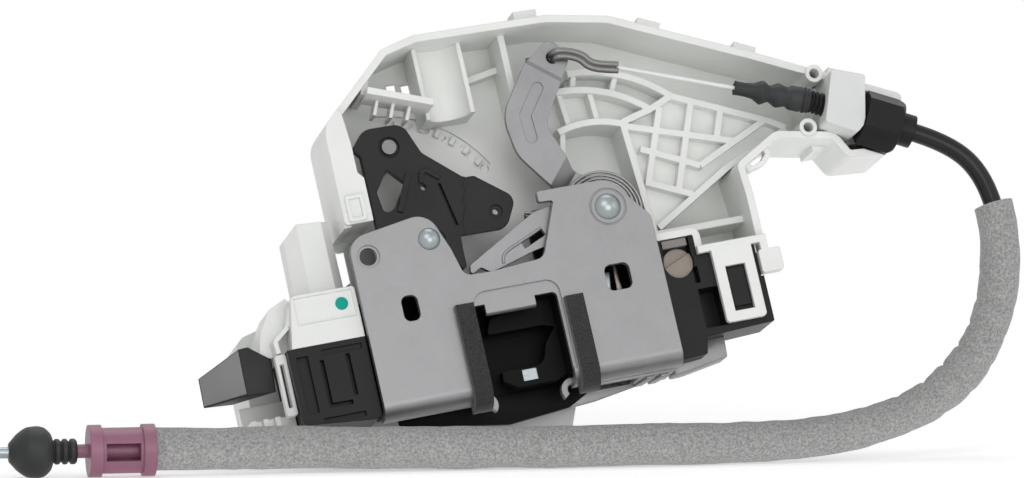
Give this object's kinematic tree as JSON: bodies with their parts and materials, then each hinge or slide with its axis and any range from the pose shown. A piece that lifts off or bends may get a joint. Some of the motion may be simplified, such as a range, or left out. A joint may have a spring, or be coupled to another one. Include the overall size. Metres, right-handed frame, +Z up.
{
  "type": "door latch actuator",
  "caption": "Vehicle door latch: steel plate with striker mouth, claw and pawl, cable lever, plastic lock drive housing and a foam-sleeved release cable with a ball end.",
  "frame": {"origin": "centre of the latch's footprint box at the surface it stands on, without its cable", "axes": "+X right along the table as the picture shows it, +Y away from the viewer, +Z up; the latch leans back and its right end is up"},
  "size_m": [0.321, 0.0945, 0.1326],
  "materials": {
    "plate_steel": "satin zinc-plated steel",
    "seal_foam": "closed-cell foam, matt",
    "zinc_rivet": "bright zinc",
    "lever_steel": "satin steel",
    "back_steel": "satin steel",
    "spring_steel": "drawn wire",
    "grey_pin": "dull steel",
    "hook_steel": "dark drawn wire",
    "clear_wire": "clear coated wire",
    "black_plastic": "moulded, fine grain",
    "black_rubber": "smooth rubber",
    "white_plastic": "moulded, satin",
    "taupe_plastic": "moulded",
    "grey_plastic": "moulded",
    "gear_plastic": "natural moulded plastic",
    "brass_gear": "machined",
    "motor_can": "drawn can",
    "green_paint": "paint mark",
    "sheath_rubber": "extruded sheath",
    "foam": "foam with a needled surface",
    "mauve_plastic": "moulded",
    "white_ball": "moulded"
  },
  "bodies": {
    "latch": {"striker_plate": "plate_steel", "seal_strip_left": "seal_foam", "seal_strip_right": "seal_foam", "lever_rivet": "zinc_rivet", "pawl_rivet": "zinc_rivet", "claw_pin": "zinc_rivet", "latch_case": "black_plastic", "back_plate": "back_steel", "guide_insert": "zinc_rivet", "return_spring": "spring_steel", "rocker_pin": "grey_pin", "cable_bellows": "black_rubber", "thread_sleeve": "black_plastic", "cable_clamp": "white_plastic", "cable_nut": "black_plastic", "actuator_housing": "white_plastic", "housing_ribs": "white_plastic", "housing_guides": "white_plastic", "key_housing": "black_plastic", "key_stop": "grey_plastic", "side_cap": "white_plastic", "socket_dome": "white_plastic", "switch_housing": "black_plastic", "connector_shroud": "black_plastic", "connector_bracket": "white_plastic", "clip_loop": "white_plastic", "side_cover": "white_plastic", "rear_cover": "white_plastic", "cover_screws": "zinc_rivet", "gear_pin": "zinc_rivet", "lock_motor": "motor_can", "paint_dot": "green_paint", "cable_sheath": "sheath_rubber", "foam_sleeve": "foam", "end_adapter": "mauve_plastic", "end_boot": "black_rubber"},
    "claw": {"claw_core": "zinc_rivet", "claw_coat": "black_plastic"},
    "pawl": {"pawl": "lever_steel"},
    "cable_lever": {"cable_lever": "lever_steel"},
    "pull_wire": {"pull_hook": "hook_steel", "pull_wire": "clear_wire"},
    "release_lever": {"release_lever": "lever_steel"},
    "rocker_lever": {"rocker_lever": "black_plastic"},
    "key_coupler": {"key_coupler": "taupe_plastic"},
    "drive_sector": {"drive_sector": "gear_plastic"},
    "motor_pinion": {"motor_pinion": "brass_gear"},
    "cable_end": {"end_rod": "zinc_rivet", "end_ball": "white_ball"}
  },
  "joints": [
    {"name": "cable_lever_turn", "type": "hinge", "parent": "latch", "child": "cable_lever", "pos_m": [0.01176, -0.0151, 0.07221], "axis": [0, 0.9613, -0.2756], "range_deg": [0, 12], "stiffness_Nm_per_rad": 0.05, "springref_deg": -17.19},
    {"name": "pull_wire_turn", "type": "hinge", "parent": "cable_lever", "child": "pull_wire", "pos_m": [-0.00122, -0.00508, 0.11802], "axis": [0, 0.9613, -0.2756], "range_deg": [-8.5, 0]},
    {"name": "cable_end_slide", "type": "slide", "parent": "latch", "child": "cable_end", "axis": [-1, 0, 0], "range_m": [0, 0.0105]},
    {"name": "rocker_turn", "type": "hinge", "parent": "latch", "child": "rocker_lever", "pos_m": [-0.05186, -0.01103, 0.09182], "axis": [0, -0.9613, 0.2756], "range_deg": [0, 12]},
    {"name": "release_turn", "type": "hinge", "parent": "latch", "child": "release_lever", "pos_m": [0.01176, -0.02, 0.07362], "axis": [0, 0.9613, -0.2756], "range_deg": [0, 10]},
    {"name": "claw_turn", "type": "hinge", "parent": "latch", "child": "claw", "pos_m": [0.00393, -0.01852, 0.0465], "axis": [0, -0.9613, 0.2756], "range_deg": [0, 38]},
    {"name": "pawl_turn", "type": "hinge", "parent": "latch", "child": "pawl", "pos_m": [-0.04247, -0.01397, 0.06235], "axis": [0, -0.9613, 0.2756], "range_deg": [0, 8]},
    {"name": "key_turn", "type": "hinge", "parent": "latch", "child": "key_coupler", "pos_m": [0.03347, -0.01668, 0.05581], "axis": [0, 0.9613, -0.2756], "range_deg": [-45, 45]},
    {"name": "sector_turn", "type": "hinge", "parent": "latch", "child": "drive_sector", "pos_m": [-0.01093, 0.01051, 0.06721], "axis": [0, 0.9613, -0.2756], "range_deg": [-20, 20]},
    {"name": "pinion_turn", "type": "hinge", "parent": "latch", "child": "motor_pinion", "pos_m": [-0.03114, 0.00957, 0.06392], "axis": [0, 0.9613, -0.2756], "range_deg": [-72, 72]}
  ],
  "couplings": [
    {"joint": "pull_wire_turn", "follows": "cable_lever_turn", "ratio": -0.655},
    {"joint": "cable_end_slide", "follows": "cable_lever_turn", "m_per_rad": 0.0452},
    {"joint": "pinion_turn", "follows": "sector_turn", "ratio": -3.5556}
  ]
}
